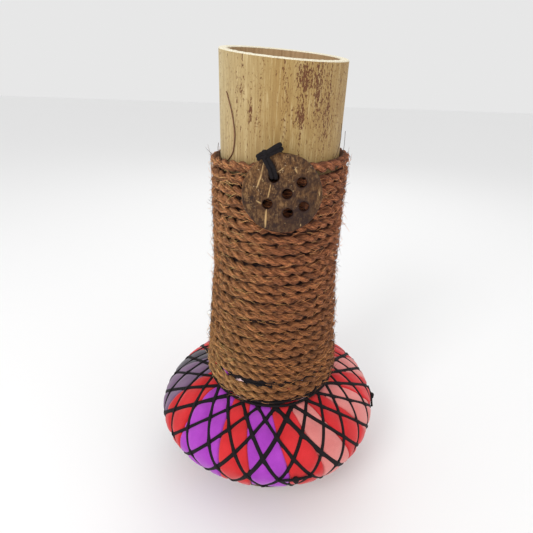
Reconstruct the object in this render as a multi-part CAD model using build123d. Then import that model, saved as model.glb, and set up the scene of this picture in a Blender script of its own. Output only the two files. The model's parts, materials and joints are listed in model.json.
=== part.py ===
"""Bamboo vase: a slant-cut culm wrapped in coir rope, with a tied coconut-shell disc,
standing in a round cushion of coloured cloth panels under a net of black cord.

Frame: millimetres, +Z up the culm, origin at the middle of the foot's underside.
The coconut-shell disc hangs on the -Y side.
"""
from build123d import *
from math import acos, atan2, degrees, sqrt
import os

os.makedirs("parts", exist_ok=True)

# ---- driving dimensions -------------------------------------------------
CULM_R = 32.5               # outside radius of the bamboo culm
CULM_WALL = 4.1
CULM_FLOOR = 7.0            # thickness of the bamboo node that closes the culm
MOUTH_Z = 266.9             # height of the mouth on the culm's axis
MOUTH_RISE_X = -0.060       # slope of the mouth's cut: lower towards +X,
MOUTH_RISE_Y = 0.109        # and higher towards +Y

FOOT_R = 47.0
FOOT_HEIGHT = 15.0
FOOT_WAIST_R = 45.2         # above the foot's flange, where the net's lower cord lies
FOOT_FLANGE = 9.5

CUSHION_R = 73.8            # outside of the cloth at its widest
CUSHION_Z = 45.5            # height of the widest circle
CUSHION_RISE = 30.0         # half-height of the section above that circle
PANEL_CLOTH = 1.5           # thickness of a panel over the stuffing
HEM_R = 47.5                # where the panels are turned in above the foot
PANEL_WIDTHS = (            # degrees round the cushion, from the first panel left of
    18.5, 17.0, 16.0, 17.0, 18.0, 18.0,     # the front, turning towards +X
    18.0, 17.0, 18.0, 17.0, 18.0, 17.0,
    16.0, 18.0, 18.0, 17.0, 23.0, 19.0,
    24.0, 15.5,
)
FIRST_PANEL_START = -8.5    # azimuth of the first panel's edge, from -Y towards +X

COIR_TOP_Z = 220.0
COIR_BOTTOM_Z = 76.0
COIR_PITCH = 6.0            # height of one turn
COIR_THICKNESS = 5.4        # the rope, pressed flat against the culm
COIR_VALLEY = 3.0           # its thickness between two turns
END_TURNS = 2               # turns below the gap that shows the gathered cloth
END_GAP = 2.4
GATHER_TOP_Z = 150.0        # where the gathered cloth under the rope runs out
GATHER_BOTTOM_R = 38.8      # outside of the gathered cloth at the rope's lower edge

NET_CORD_R = 0.8
NET_EASE = 0.3              # between the net's layers, and under the lower one
NET_LOOPS = 24
NET_PHASE = 4.7             # azimuth of a crossing on the widest circle
NET_NECK_AIM_R = 24.0       # circles that the loops would touch if they ran on past
NET_FOOT_AIM_R = 30.0       # the neck and under the foot
NET_NECK_END_R = 43.0       # where the loops really stop, at the ring cords
NET_FOOT_END_R = 49.0
RING_CORD_R = 1.1
NET_KNOT_R = 2.3
KNOTTED_MESHES = (0, 5, 7)   # meshes of the net, from the front, that hold a knot

DISC_R = 19.2
DISC_THICKNESS = 2.6
DISC_CROWN = 1.3            # how far the middle stands out past the rim
DISC_X = 1.0
DISC_Z = 205.7
DISC_HOLE_R = 2.4
DISC_HOLES = ((-4.1, 8.3), (9.0, 6.3), (2.4, 0.7), (-6.8, -4.5), (10.7, -5.2), (3.2, -8.7))
TIE_CORD_R = 0.85
KNOT_R = 2.2
KNOT_SIDE = 9.2             # the knot stands this far left of the disc's middle,
KNOT_RISE = 19.1            # and this far above it
STRAND_LEAN = 3.0           # how far the strands lean left,
STRAND_RISE = 7.0           # and how far they rise, from their hole
STRAND_BEND_R = 1.1

CLEAR = 0.1                 # between pieces that lie against each other
EASE = 0.4                  # between the disc and the rope it hangs against

# ---- derived sizes ------------------------------------------------------
CULM_BORE_R = CULM_R - CULM_WALL
CULM_FLOOR_Z = FOOT_HEIGHT + CULM_FLOOR
NET_STEP = 2 * NET_CORD_R + NET_EASE    # from one layer of the net to the next


def tangent_tilt(rise, radius, touch_radius):
    """Height over run of a loop's plane, for a loop that touches a circle of touch_radius."""
    return rise * sqrt(1 - (touch_radius / radius) ** 2) / touch_radius


# the section is fuller below its widest circle, by as much as keeps each loop in one plane
CUSHION_DROP = (
    CUSHION_RISE
    * tangent_tilt(1, CUSHION_R, NET_NECK_AIM_R)
    / tangent_tilt(1, CUSHION_R, NET_FOOT_AIM_R)
)


def save(shape, node):
    """Write one node, as one solid or as a group of separate solids."""
    solids = shape.solids()
    export_step(solids[0] if len(solids) == 1 else Compound(solids), f"parts/{node}.step")


def seat_radius(z):
    """Outside of what the rope is wound on: bare culm above, gathered cloth below."""
    covered = max(0.0, (GATHER_TOP_Z - z) / (GATHER_TOP_Z - COIR_BOTTOM_Z))
    return CULM_R + CLEAR + (GATHER_BOTTOM_R - CULM_R - CLEAR) * covered


def section_height(radius, surface_r, rise):
    """Height above the widest circle of an elliptical section at a radius."""
    return rise * sqrt(1 - (radius / surface_r) ** 2)


def section_arc(inset, start_r, end_r):
    """The section's outline from start_r under the cushion to end_r on top of it."""
    surface_r = CUSHION_R - inset
    drop = CUSHION_DROP - inset
    rise = CUSHION_RISE - inset
    low = -degrees(atan2(section_height(start_r, surface_r, drop) / drop, start_r / surface_r))
    high = degrees(atan2(section_height(end_r, surface_r, rise) / rise, end_r / surface_r))
    middle = (0, CUSHION_Z)
    return Curve() + [
        EllipticalCenterArc(middle, surface_r, drop, start_angle=low, arc_size=-low),
        EllipticalCenterArc(middle, surface_r, rise, start_angle=0, arc_size=high),
    ]


def turned(edges, angle=360.0, start=0.0):
    """Turn a closed outline drawn as radius and height about Z, from azimuth start."""
    face = Plane.XZ * make_face(Curve() + edges)
    return Rot(0, 0, start - 90) * revolve(face, Axis.Z, angle)


def ring(radius, z, section_r):
    return Pos(0, 0, z) * Torus(radius, section_r)


def cord(points, bend_r, section_r):
    """A round cord along a path of straight runs with rounded corners."""
    path = FilletPolyline(*points, radius=bend_r) if len(points) > 2 else Line(*points)
    return sweep(Plane(path @ 0, z_dir=path % 0) * Circle(section_r), path=path)


# ---- foot and culm ------------------------------------------------------
def make_foot():
    edge = 2.0
    outline = Polyline(
        (0, 0),
        (FOOT_R - edge, 0),
        (FOOT_R, edge),
        (FOOT_R, FOOT_FLANGE - edge),
        (FOOT_WAIST_R, FOOT_FLANGE),
        (FOOT_WAIST_R, FOOT_HEIGHT),
        (0, FOOT_HEIGHT),
        close=True,
    )
    return turned([outline])


def make_culm():
    blank_height = MOUTH_Z + CULM_R / 2 - FOOT_HEIGHT
    culm = Pos(0, 0, FOOT_HEIGHT + blank_height / 2) * Cylinder(CULM_R, blank_height)
    culm -= Pos(0, 0, CULM_FLOOR_Z + blank_height / 2) * Cylinder(CULM_BORE_R, blank_height)
    mouth = Plane((0, 0, MOUTH_Z), z_dir=(-MOUTH_RISE_X, -MOUTH_RISE_Y, 1))
    offcut = 4 * CULM_R
    return culm - mouth * Pos(0, 0, offcut / 2) * Box(offcut, offcut, offcut)


# ---- cushion ------------------------------------------------------------
def make_stuffing():
    inset = PANEL_CLOTH + CLEAR
    inner_r = CULM_R + CLEAR
    arc = section_arc(inset, HEM_R, inner_r)
    corners = Polyline(arc @ 1, (inner_r, FOOT_HEIGHT + CLEAR), (FOOT_WAIST_R, FOOT_HEIGHT + CLEAR), arc @ 0)
    return turned([arc, corners])


def make_panel(start, width):
    """One cloth panel: a curved gore from the foot up to the rope's lower edge."""
    inner_r = CULM_R + CLEAR
    outer = section_arc(0, HEM_R, GATHER_BOTTOM_R)
    inner = section_arc(PANEL_CLOTH, HEM_R, inner_r)
    neck = Polyline(
        outer @ 1,
        (GATHER_BOTTOM_R, COIR_BOTTOM_Z),
        (inner_r, COIR_BOTTOM_Z),
        inner @ 1,
    )
    hem = Line(inner @ 0, outer @ 0)
    return turned([outer, neck, inner, hem], width, start)


def make_gathered_cloth():
    """The panels' upper ends, bunched round the culm under the rope."""
    inner_r = CULM_R + CLEAR
    base = COIR_BOTTOM_Z + CLEAR
    outline = Polyline(
        (inner_r, base),
        (seat_radius(base), base),
        (inner_r + CLEAR, GATHER_TOP_Z),
        (inner_r, GATHER_TOP_Z),
        close=True,
    )
    return turned([outline])


# ---- coir rope ----------------------------------------------------------
def make_turns(top, bottom):
    """Turns of rope between two heights, each a rounded ridge round the culm."""
    turns = round((top - bottom) / COIR_PITCH)
    pitch = (top - bottom) / turns
    levels = [bottom + pitch * index for index in range(turns + 1)]
    edges = []
    for low, high in zip(levels, levels[1:]):
        middle = (low + high) / 2
        edges.append(ThreePointArc(
            (seat_radius(low) + COIR_VALLEY, low),
            (seat_radius(middle) + COIR_THICKNESS, middle),
            (seat_radius(high) + COIR_VALLEY, high),
        ))
    seat = [(seat_radius(top) + CLEAR, top)]
    if bottom < GATHER_TOP_Z < top:
        seat.append((seat_radius(GATHER_TOP_Z) + CLEAR, GATHER_TOP_Z))
    seat.append((seat_radius(bottom) + CLEAR, bottom))
    outer_top = (seat_radius(top) + COIR_VALLEY, top)
    outer_bottom = (seat_radius(bottom) + COIR_VALLEY, bottom)
    edges.append(Polyline(outer_top, *seat, outer_bottom))
    return turned(edges)


# ---- net ----------------------------------------------------------------
def loop_angle(wide, aim_r, end_r):
    """Angle along a loop, from the widest circle to where it is end_r from the axis."""
    return degrees(acos(sqrt((end_r ** 2 - aim_r ** 2) / (wide ** 2 - aim_r ** 2))))


def make_strand(layer):
    """One half of a net loop: over the shoulder, across the widest circle and under."""
    lift = NET_EASE + NET_CORD_R + layer * NET_STEP
    wide = CUSHION_R + lift
    tilt = tangent_tilt(CUSHION_RISE + lift, wide, NET_NECK_AIM_R)
    plane = Plane((0, 0, CUSHION_Z), x_dir=(1, 0, 0), z_dir=(0, -tilt, 1))
    stretch = sqrt(1 + tilt ** 2)
    rising = loop_angle(wide, NET_NECK_AIM_R, NET_NECK_END_R)
    sinking = loop_angle(wide, NET_FOOT_AIM_R, NET_FOOT_END_R)
    upper = EllipticalCenterArc(
        (0, 0), wide, NET_NECK_AIM_R * stretch, start_angle=0, arc_size=rising
    )
    lower = EllipticalCenterArc(
        (0, 0), wide, NET_FOOT_AIM_R * stretch, start_angle=-sinking, arc_size=sinking
    )
    path = plane * (Curve() + [lower, upper])
    return sweep(Plane(path @ 0, z_dir=path % 0) * Circle(NET_CORD_R), path=path)


def make_net_layer(strand):
    step = 360.0 / NET_LOOPS
    first = NET_PHASE - 90.0
    return Compound([Rot(0, 0, first + step * index) * strand.solid() for index in range(NET_LOOPS)])


def make_net_knots():
    """Knots of the net's cord, each in the middle of a mesh on the widest circle."""
    knots = []
    for mesh in KNOTTED_MESHES:
        azimuth = NET_PHASE + (mesh + 0.5) * 360.0 / NET_LOOPS
        stand = Pos(0, -(CUSHION_R + NET_KNOT_R), CUSHION_Z)
        knots.append((Rot(0, 0, azimuth) * stand * Sphere(NET_KNOT_R)).solid())
    return Compound(knots)


# ---- disc and its tie ---------------------------------------------------
DISC_BACK_Y = -(CULM_R + CLEAR + COIR_THICKNESS + EASE)
DISC_FRONT_Y = DISC_BACK_Y - DISC_THICKNESS
FACE_Y = DISC_FRONT_Y - DISC_CROWN - CLEAR - TIE_CORD_R     # axis of the cord on the disc's face
KNOT_BACK = 0.8             # the knot's middle is this far behind the cord on the disc's face
KNOT = (DISC_X - KNOT_SIDE, FACE_Y + KNOT_BACK, DISC_Z + KNOT_RISE)
ANCHOR_Z = COIR_TOP_Z + 1.0
ANCHOR_STAND = 2.1          # from the culm to the middle of the cord behind the top turn
ANCHOR_RISE = 4.6           # from there to where the cord turns forward over the disc's edge
ANCHOR_BEND_R = 1.5


def make_disc():
    rim_back = (DISC_R, DISC_BACK_Y)
    rim_front = (DISC_R, DISC_FRONT_Y)
    middle_back = (0, DISC_BACK_Y - DISC_CROWN)
    middle_front = (0, DISC_FRONT_Y - DISC_CROWN)
    back_curve = TangentArc(middle_back, rim_back, tangent=(1, 0))
    front_curve = TangentArc(middle_front, rim_front, tangent=(1, 0))
    outline = [back_curve, Line(rim_back, rim_front), front_curve, Line(middle_front, middle_back)]
    disc = revolve(make_face(Curve() + outline), Axis.Y)
    for x, z in DISC_HOLES:
        disc -= Pos(x, DISC_FRONT_Y, z) * Rot(90, 0, 0) * Cylinder(DISC_HOLE_R, 6 * DISC_THICKNESS)
    return Pos(DISC_X, 0, DISC_Z) * disc


def make_tie_strands():
    """Two strands that come out of the upper left hole and lie up the disc's face."""
    hole_x, hole_z = DISC_HOLES[0]
    strands = []
    for side in (-1, 1):
        x = DISC_X + hole_x + side * (TIE_CORD_R + CLEAR)
        z = DISC_Z + hole_z
        inside_hole = (x, DISC_BACK_Y - DISC_CROWN, z)
        at_knot = (x - STRAND_LEAN, FACE_Y, z + STRAND_RISE)
        points = (inside_hole, (x, FACE_Y, z), at_knot)
        strands.append(cord(points, STRAND_BEND_R, TIE_CORD_R).solid())
    return Compound(strands)


def make_tie_ends(start, tip, spread):
    """Two cut ends side by side, from the knot to their tips."""
    across = Vector(0, 0, TIE_CORD_R + CLEAR)
    return Compound([
        cord((Vector(*start) + across * side, Vector(*tip) + across * side * spread), 0, TIE_CORD_R).solid()
        for side in (-1, 1)
    ])


def make_tie_anchor():
    """The cord from the knot over the disc's edge and down behind the top turn of rope."""
    behind = -(CULM_R + ANCHOR_STAND)
    above = ANCHOR_Z + ANCHOR_RISE
    points = (
        (DISC_X, behind, ANCHOR_Z),
        (DISC_X - 1.2, behind - 0.4, above),
        (KNOT[0] + 0.6, KNOT[1] + KNOT_R + EASE, KNOT[2] + 0.4),
    )
    return cord(points, ANCHOR_BEND_R, TIE_CORD_R)


# ---- build --------------------------------------------------------------
def main():
    save(make_foot(), "foot_disc")
    save(make_culm(), "bamboo_tube")
    save(make_stuffing(), "cushion_stuffing")

    start = FIRST_PANEL_START
    for number, width in enumerate(PANEL_WIDTHS, 1):
        save(make_panel(start, width), f"cover_panel_{number:02d}")
        start += width

    save(make_gathered_cloth(), "gathered_cloth")
    gap_low = COIR_BOTTOM_Z + END_TURNS * COIR_PITCH - END_GAP / 2
    save(make_turns(COIR_TOP_Z, gap_low + END_GAP), "coir_wrap")
    save(make_turns(gap_low, COIR_BOTTOM_Z), "coir_end_turns")

    whipping_z = gap_low + END_GAP / 2
    whipping_r = seat_radius(whipping_z) + CLEAR + RING_CORD_R
    save(ring(whipping_r, whipping_z, RING_CORD_R), "neck_whipping")

    save(make_net_layer(make_strand(0)), "net_cords_under")
    save(make_net_layer(mirror(make_strand(1), about=Plane.XZ)), "net_cords_over")
    neck_ring_r = GATHER_BOTTOM_R + CLEAR + RING_CORD_R
    neck_rings = [ring(neck_ring_r, COIR_BOTTOM_Z - drop, RING_CORD_R).solid() for drop in (1.3, 3.6)]
    save(Compound(neck_rings), "net_neck_cord")
    foot_ring_z = FOOT_FLANGE + 2 * RING_CORD_R
    save(ring(FOOT_WAIST_R + CLEAR + RING_CORD_R, foot_ring_z, RING_CORD_R), "net_foot_cord")
    save(make_net_knots(), "net_knots")

    save(make_disc(), "shell_disc")
    save(make_tie_strands(), "tie_strands")
    save(Pos(*KNOT) * Sphere(KNOT_R), "tie_knot")
    long_start = (KNOT[0] + KNOT_R + 0.9, KNOT[1], KNOT[2] + 1.0)
    long_tip = (KNOT[0] + 8.5, KNOT[1] + 1.0, KNOT[2] + 3.4)
    save(make_tie_ends(long_start, long_tip, 1.4), "tie_end_long")
    short_start = (KNOT[0] - KNOT_R - 0.9, KNOT[1], KNOT[2] - 0.2)
    short_tip = (KNOT[0] - 4.2, KNOT[1] + 0.6, KNOT[2] - 1.4)
    save(make_tie_ends(short_start, short_tip, 1.0), "tie_end_short")
    save(make_tie_anchor(), "tie_anchor")


main()
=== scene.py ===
"""Looks for the bamboo vase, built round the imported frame. Sizes inside are in millimetres."""
import json
import math

import bpy
import numpy as np
from mathutils import Matrix, Vector


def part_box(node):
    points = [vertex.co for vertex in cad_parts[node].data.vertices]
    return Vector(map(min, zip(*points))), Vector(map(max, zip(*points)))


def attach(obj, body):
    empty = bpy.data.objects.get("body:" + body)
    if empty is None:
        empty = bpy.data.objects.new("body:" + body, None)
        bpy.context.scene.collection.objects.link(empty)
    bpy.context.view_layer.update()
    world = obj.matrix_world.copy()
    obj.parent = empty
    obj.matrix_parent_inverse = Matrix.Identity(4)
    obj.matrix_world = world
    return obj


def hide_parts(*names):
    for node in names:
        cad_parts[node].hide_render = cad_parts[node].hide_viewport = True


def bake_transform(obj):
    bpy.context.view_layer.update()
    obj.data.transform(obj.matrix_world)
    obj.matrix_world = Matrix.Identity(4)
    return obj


MM = 0.001
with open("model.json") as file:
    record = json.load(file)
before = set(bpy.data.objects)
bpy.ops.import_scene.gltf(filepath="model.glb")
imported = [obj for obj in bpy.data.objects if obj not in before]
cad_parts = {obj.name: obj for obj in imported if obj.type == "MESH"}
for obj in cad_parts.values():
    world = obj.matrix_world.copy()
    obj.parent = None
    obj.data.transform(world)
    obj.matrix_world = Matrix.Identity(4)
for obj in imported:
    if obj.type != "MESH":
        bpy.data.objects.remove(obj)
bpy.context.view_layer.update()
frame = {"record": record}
random = np.random.default_rng(11)


def node_box(*names):
    """Lowest and highest corner of several CAD nodes together, in millimetres."""
    corners = [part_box(name) for name in names]
    low = np.min([np.array(low) for low, _ in corners], axis=0)
    high = np.max([np.array(high) for _, high in corners], axis=0)
    return low / MM, high / MM


# ---- sizes read from the frame -------------------------------------------
PANELS = [row["node"] for row in frame["record"]["subparts"] if row["node"].startswith("cover_panel")]
PANEL_SLOTS = {row["node"]: row["material_slot"] for row in frame["record"]["subparts"]}
CULM_R = node_box("bamboo_tube")[1][0]
CUSHION_R = node_box(*PANELS)[1][0]
COIR_BOTTOM, COIR_TOP = node_box("coir_end_turns")[0][2], node_box("coir_wrap")[1][2]
COIR_R = node_box("coir_wrap")[1][0]
GATHER_TOP = node_box("gathered_cloth")[1][2]
FOOT_TOP = node_box("foot_disc")[1][2]
FOOT_R = node_box("foot_disc")[1][0]
DISC_LOW, DISC_HIGH = node_box("shell_disc")
DISC_MIDDLE = (DISC_LOW + DISC_HIGH) / 2
DISC_R = (DISC_HIGH[0] - DISC_LOW[0]) / 2

# ---- sizes of the looks --------------------------------------------------
CUSHION_Z = 45.5            # height of the widest circle
CUSHION_RISE = 30.0
CUSHION_DROP = 36.6
CLOTH_INSET = 1.0           # the cords pull the cloth in this far from its widest size
PUFF = 1.1                  # how far the cloth swells between the cords
CORD_GROOVE = 2.4
PANEL_WIDTHS = (
    18.5, 17.0, 16.0, 17.0, 18.0, 18.0, 18.0, 17.0, 18.0, 17.0,
    18.0, 17.0, 16.0, 18.0, 18.0, 17.0, 23.0, 19.0, 24.0, 15.5,
)
FIRST_PANEL_START = -8.5
NET_LOOPS = 24
NET_PHASE = 4.7
NET_NECK_AIM = 24.0
NET_FOOT_AIM = 30.0
NECK_R = 38.8
HEM_R = 47.5
ROPE_TURNS = 23.6
PLY_R = 1.5                 # one of the rope's two strands
PLY_OFFSET = 1.3
ROPE_LAY = 14.0             # length of one full twist of the rope
ROPE_START = -100.0         # azimuth where the winding begins, at the bottom
ROPE_LIFT = 2.2             # centre of the first turn above the rope's lower edge
ROPE_R = 2.75               # about half the rope's thickness
OPENED_Z = 86.0             # height of the opened turns, where the bunched cloth shows
DISC_CROWN = 1.3            # how far the disc's middle stands out
FULL_TURN = 6.283           # radians in a full turn, for the noise


# ---- mesh helpers --------------------------------------------------------
def unit(vectors):
    return vectors / np.maximum(np.linalg.norm(vectors, axis=-1, keepdims=True), 1e-9)


def on_circle(azimuth, radius, z):
    """Points at azimuths in degrees, from -Y towards +X."""
    angle = np.radians(azimuth)
    return np.stack(np.broadcast_arrays(radius * np.sin(angle), -radius * np.cos(angle), z), axis=-1)


def outward(points):
    flat = points * np.array([1.0, 1.0, 0.0])
    return unit(flat)


def grid_faces(rows, columns, wrap=False):
    """Quads over rows x columns of points, wrapped round in the columns if asked."""
    last = columns if wrap else columns - 1
    row, column = np.meshgrid(np.arange(rows - 1), np.arange(last), indexing="ij")
    across = (column + 1) % columns
    quads = [row * columns + column, row * columns + across]
    quads += [(row + 1) * columns + across, (row + 1) * columns + column]
    return np.stack(quads, axis=-1).reshape(-1, 4)


def tube(path, up, half_width, half_height, sides=10, closed=False):
    """Points, faces and grain of a cord of oval section; up is the side that faces out."""
    path = np.asarray(path, float)
    if closed:
        tangent = unit(np.roll(path, -1, axis=0) - np.roll(path, 1, axis=0))
    else:
        tangent = unit(np.gradient(path, axis=0))
    up = np.broadcast_to(up, path.shape)
    up = unit(up - np.sum(up * tangent, axis=1, keepdims=True) * tangent)
    side = np.cross(tangent, up)
    turn = np.linspace(-math.pi / 2, 1.5 * math.pi, sides, endpoint=False)
    width = np.broadcast_to(half_width, len(path))[:, None, None]
    height = np.broadcast_to(half_height, len(path))[:, None, None]
    ring = path[:, None] + width * np.cos(turn)[None, :, None] * side[:, None]
    ring = ring + height * np.sin(turn)[None, :, None] * up[:, None]
    points = ring.reshape(-1, 3)
    faces = grid_faces(len(path) + (1 if closed else 0), sides, wrap=True)
    if closed:
        faces = faces % (len(path) * sides)
    faces = faces.tolist()
    if not closed:
        faces.append(list(range(sides))[::-1])
        faces.append(list(range(len(points) - sides, len(points))))
    steps = np.linalg.norm(np.diff(path, axis=0), axis=1)
    along = np.concatenate([[0], np.cumsum(steps)])
    around = (turn + math.pi / 2) * np.mean(half_width)
    grain = np.stack(np.broadcast_arrays(along[:, None], around[None, :], 0.0), axis=-1).reshape(-1, 3)
    return points, faces, grain


def round_ends(count, share=0.06, least=0.25):
    """Width factors that round off both ends of a cord."""
    place = np.linspace(0, 1, count)
    edge = np.clip(np.minimum(place, 1 - place) / share, 0, 1)
    return least + (1 - least) * np.sqrt(1 - (1 - edge) ** 2)


def smooth_path(points, count):
    """A soft curve through a few points."""
    points = np.asarray(points, float)
    place = np.linspace(0, len(points) - 1, count)
    spread = np.exp(-((place[:, None] - np.linspace(0, len(points) - 1, 60)[None]) / 0.35) ** 2)
    dense = np.stack(
        [np.interp(np.linspace(0, len(points) - 1, 60), range(len(points)), points[:, k]) for k in range(3)],
        axis=1,
    )
    curve = spread @ dense / spread.sum(axis=1, keepdims=True)
    curve[0], curve[-1] = points[0], points[-1]
    return curve


def joined(parts):
    """Several (points, faces, grain) meshes as one."""
    points, faces, grain, offset = [], [], [], 0
    for part in parts:
        points.append(part[0])
        faces += [[corner + offset for corner in face] for face in part[1]]
        grain.append(part[2])
        offset += len(part[0])
    return np.concatenate(points), faces, np.concatenate(grain)


def make_piece(name, points, faces, material, body, nodes=(), grain=None, tone=None, colour=None):
    """A mesh piece that rides on a body and stands for CAD nodes."""
    mesh = bpy.data.meshes.new(name)
    faces = faces if isinstance(faces, list) else faces.tolist()
    mesh.from_pydata((np.asarray(points) * MM).tolist(), [], faces)
    mesh.polygons.foreach_set("use_smooth", [True] * len(mesh.polygons))
    if grain is not None:
        layer = mesh.attributes.new("grain", "FLOAT_VECTOR", "POINT")
        layer.data.foreach_set("vector", np.asarray(grain, np.float32).ravel())
    if tone is not None:
        layer = mesh.attributes.new("tone", "FLOAT", "POINT")
        layer.data.foreach_set("value", np.asarray(tone, np.float32).ravel())
    if colour is not None:
        layer = mesh.attributes.new("shade", "FLOAT_COLOR", "POINT")
        rgba = np.concatenate([colour, np.ones((len(colour), 1))], axis=1)
        layer.data.foreach_set("color", rgba.astype(np.float32).ravel())
    mesh.validate()
    mesh.update()
    piece = bpy.data.objects.new(name, mesh)
    bpy.context.scene.collection.objects.link(piece)
    mesh.materials.append(material)
    if body:
        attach(piece, body)
    if nodes:
        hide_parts(*nodes)
    return piece


def wave_noise(place, cycles, seed, terms=5):
    """Smooth random values between about -1 and 1 along a line."""
    source = np.random.default_rng(seed)
    total = np.zeros_like(np.asarray(place, float))
    for _ in range(terms):
        total += np.sin(place * cycles * source.uniform(0.5, 1.6) + source.uniform(0, FULL_TURN))
    return total / terms * 1.4


# ---- material helpers ----------------------------------------------------
class Nodes:
    """A short way to wire one material."""

    def __init__(self, name, roughness):
        self.material = bpy.data.materials.new(name)
        self.material.use_nodes = True
        self.tree = self.material.node_tree
        self.shader = self.tree.nodes["Principled BSDF"]
        self.shader.inputs["Roughness"].default_value = roughness

    def add(self, kind, **settings):
        node = self.tree.nodes.new(kind)
        for key, value in settings.items():
            setattr(node, key, value)
        return node

    def link(self, source, target):
        self.tree.links.new(source, target)

    def fill(self, node, **values):
        for key, value in values.items():
            socket = node.inputs[key.replace("_", " ")]
            if hasattr(value, "is_output"):
                self.link(value, socket)
            else:
                socket.default_value = value
        return node

    def place(self, scale=(1, 1, 1), attribute=None):
        """Object coordinates in metres, or an attribute, scaled."""
        if attribute:
            source = self.add("ShaderNodeAttribute", attribute_name=attribute).outputs["Vector"]
        else:
            source = self.add("ShaderNodeTexCoord").outputs["Object"]
        mapping = self.add("ShaderNodeMapping")
        self.fill(mapping, Vector=source, Scale=scale)
        return mapping.outputs["Vector"]

    def noise(self, vector, detail, roughness=0.55):
        node = self.add("ShaderNodeTexNoise")
        self.fill(node, Vector=vector, Scale=1.0, Detail=detail, Roughness=roughness)
        return node.outputs["Fac"]

    def ramp(self, value, *stops):
        """Stops are (place, grey) or (place, (r, g, b))."""
        node = self.add("ShaderNodeValToRGB")
        elements = node.color_ramp.elements
        while len(elements) < len(stops):
            elements.new(0.5)
        for element, (place, colour) in zip(elements, stops):
            element.position = place
            rgb = colour if isinstance(colour, tuple) else (colour,) * 3
            element.color = (*rgb, 1)
        self.link(value, node.inputs["Fac"])
        return node.outputs["Color"]

    def mix(self, factor, first, second, mode="MIX"):
        node = self.add("ShaderNodeMix", data_type="RGBA", blend_type=mode)
        for socket, value in ((node.inputs[0], factor), (node.inputs[6], first), (node.inputs[7], second)):
            if hasattr(value, "is_output"):
                self.link(value, socket)
            elif isinstance(value, tuple):
                socket.default_value = (*value, 1)
            else:
                socket.default_value = value
        return node.outputs[2]

    def value(self, attribute):
        return self.add("ShaderNodeAttribute", attribute_name=attribute).outputs["Fac"]

    def shade(self):
        return self.add("ShaderNodeAttribute", attribute_name="shade").outputs["Color"]

    def maths(self, operation, first, second):
        node = self.add("ShaderNodeMath", operation=operation)
        for socket, value in zip(node.inputs, (first, second)):
            if hasattr(value, "is_output"):
                self.link(value, socket)
            else:
                socket.default_value = value
        return node.outputs[0]

    def finish(self, colour, height=None, depth=0.001, strength=1.0, rough=None):
        if hasattr(colour, "is_output"):
            self.link(colour, self.shader.inputs["Base Color"])
        else:
            self.shader.inputs["Base Color"].default_value = (*colour, 1)
        if height is not None:
            bump = self.add("ShaderNodeBump")
            self.fill(bump, Height=height, Distance=depth, Strength=strength)
            self.link(bump.outputs["Normal"], self.shader.inputs["Normal"])
        if rough is not None:
            self.link(rough, self.shader.inputs["Roughness"])
        return self.material


def srgb(red, green, blue):
    """A colour given as 0-255 screen values."""
    shares = (value / 255 for value in (red, green, blue))
    return tuple(share / 12.92 if share < 0.0404 else ((share + 0.055) / 1.055) ** 2.4 for share in shares)


# ---- materials -----------------------------------------------------------
def bamboo_skin():
    """Dry culm skin: pale and tan with fine grain, paler on the left as painted light, and dark specks that
    crowd where tone says.
    """
    kit = Nodes("bamboo_skin", roughness=0.6)
    side = kit.add("ShaderNodeSeparateXYZ")
    kit.link(kit.add("ShaderNodeTexCoord").outputs["Object"], side.inputs[0])
    # painted light: the left side of the culm is made paler, as if lit from there
    across = kit.maths("ADD", kit.maths("MULTIPLY", side.outputs["X"], 15.0), 0.5)
    painted_light_from_left = ((0.02, srgb(196, 178, 132)), (0.45, srgb(166, 134, 74)), (0.95, srgb(170, 140, 86)))
    pale = kit.ramp(across, *painted_light_from_left)
    broad = kit.noise(kit.place((30, 30, 9)), detail=4)
    base = kit.mix(kit.ramp(broad, (0.4, 0.0), (0.7, 0.55)), pale, srgb(156, 120, 66))
    base = kit.mix(kit.ramp(broad, (0.3, 0.5), (0.45, 0.0)), base, srgb(214, 192, 140))
    grain = kit.noise(kit.place((1100, 1100, 75)), detail=5, roughness=0.65)
    base = kit.mix(kit.ramp(grain, (0.36, 0.35), (0.52, 0.0)), base, srgb(138, 102, 56))
    base = kit.mix(kit.ramp(grain, (0.52, 0.0), (0.7, 0.35)), base, srgb(232, 212, 164))
    specks = kit.noise(kit.place((1500, 1500, 640)), detail=4, roughness=0.7)
    lines = kit.noise(kit.place((420, 420, 14)), detail=2)
    crowd = kit.maths("MULTIPLY", kit.value("tone"), 0.16)
    crowd = kit.maths("ADD", crowd, kit.ramp(lines, (0.56, 0.0), (0.7, 0.09)))
    mask = kit.ramp(kit.maths("ADD", specks, crowd), (0.645, 0.0), (0.675, 0.92))
    rust = kit.ramp(kit.maths("ADD", specks, crowd), (0.585, 0.0), (0.66, 0.45))
    base = kit.mix(rust, base, srgb(146, 92, 26))
    colour = kit.mix(mask, base, srgb(92, 42, 2))
    height = kit.maths("SUBTRACT", grain, kit.maths("MULTIPLY", mask, 0.6))
    return kit.finish(colour, height, depth=0.0006, strength=0.6)


def bamboo_cut():
    """The fresh end grain of the rim: nearly white, with fine pores."""
    kit = Nodes("bamboo_cut", roughness=0.8)
    pores = kit.noise(kit.place((1800, 1800, 1800)), detail=3)
    colour = kit.mix(kit.ramp(pores, (0.35, 0.0), (0.6, 1.0)), srgb(216, 204, 170), srgb(244, 238, 218))
    return kit.finish(colour, pores, depth=0.0004, strength=0.6)


def bamboo_inside():
    kit = Nodes("bamboo_inside", roughness=0.85)
    grain = kit.noise(kit.place((700, 700, 12)), detail=5)
    broad = kit.noise(kit.place((40, 40, 12)), detail=3)
    colour = kit.mix(kit.ramp(grain, (0.3, 0.0), (0.7, 1.0)), srgb(150, 116, 80), srgb(190, 158, 118))
    colour = kit.mix(kit.ramp(broad, (0.4, 0.0), (0.7, 0.5)), colour, srgb(188, 158, 116))
    return kit.finish(colour, grain, depth=0.0006, strength=0.6)


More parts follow.
